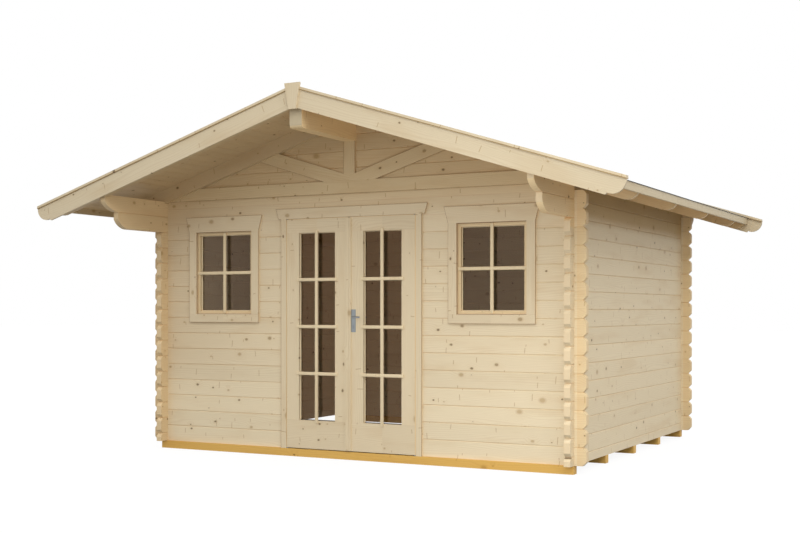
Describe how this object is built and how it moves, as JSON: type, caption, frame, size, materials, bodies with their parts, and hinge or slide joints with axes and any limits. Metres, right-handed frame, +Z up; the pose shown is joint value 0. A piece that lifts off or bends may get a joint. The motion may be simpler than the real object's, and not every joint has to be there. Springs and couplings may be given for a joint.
{
  "type": "garden house",
  "caption": "Small log garden house with a low gabled roof on a deep front overhang, a glazed double door and barred windows.",
  "frame": {"origin": "on the ground, in the middle of the house's outer box from side to side and from front to back", "axes": "+Z up, the door front faces -Y, +X to the right of someone who looks at the front"},
  "size_m": [5.19, 4.475, 2.9447],
  "materials": {
    "log_wood": "bare planed spruce logs, matt",
    "trim_wood": "bare planed spruce boards, matt",
    "roof_wood": "bare planed spruce boards and rafters, matt",
    "joist_wood": "pressure-treated softwood, golden brown, matt",
    "felt": "mineral-surfaced bitumen roofing felt, matt",
    "steel": "brushed zinc-plated steel",
    "glass": "clear window glass"
  },
  "bodies": {
    "house": {"front_wall_left": "log_wood", "front_wall_right": "log_wood", "front_top_log": "log_wood", "front_gable": "log_wood", "left_wall": "log_wood", "right_wall": "log_wood", "back_wall": "log_wood", "back_gable": "log_wood", "ridge_purlin": "log_wood", "rafters_left": "roof_wood", "rafters_right": "roof_wood", "eave_blocking": "roof_wood", "roof_deck_left": "roof_wood", "roof_deck_right": "roof_wood", "roof_felt_left": "felt", "roof_felt_right": "felt", "fascia_boards": "trim_wood", "bargeboard_front_left": "trim_wood", "bargeboard_front_right": "trim_wood", "bargeboard_back_left": "trim_wood", "bargeboard_back_right": "trim_wood", "edge_battens_left": "trim_wood", "edge_battens_right": "trim_wood", "finials": "trim_wood", "gable_tie_board": "trim_wood", "gable_king_post": "trim_wood", "gable_strut_left": "trim_wood", "gable_strut_right": "trim_wood", "head_boards": "trim_wood", "door_frame": "trim_wood", "door_casing": "trim_wood", "window_casing_left": "trim_wood", "window_casing_right": "trim_wood", "window_sash_left": "trim_wood", "window_sash_right": "trim_wood", "floor_joists": "joist_wood", "window_glass_left": "glass", "window_glass_right": "glass", "hinge_pins": "steel"},
    "door_leaf_left": {"door_leaf_left": "trim_wood", "door_glass_left": "glass"},
    "door_leaf_right": {"door_leaf_right": "trim_wood", "door_glass_right": "glass", "lock_plates": "steel"},
    "door_lever": {"door_lever": "steel"}
  },
  "joints": [
    {"name": "left_door", "type": "hinge", "parent": "house", "child": "door_leaf_left", "pos_m": [-0.601, -1.3715, 0.072], "axis": [0, 0, -1], "range_deg": [0, 95]},
    {"name": "right_door", "type": "hinge", "parent": "house", "child": "door_leaf_right", "pos_m": [0.601, -1.3715, 0.072], "axis": [0, 0, 1], "range_deg": [0, 95]},
    {"name": "lever_turn", "type": "hinge", "parent": "door_leaf_right", "child": "door_lever", "pos_m": [0.04, -1.3775, 1.168], "axis": [0, 1, 0], "range_deg": [0, 40], "stiffness_Nm_per_rad": 0.6, "springref_deg": -20.05}
  ]
}
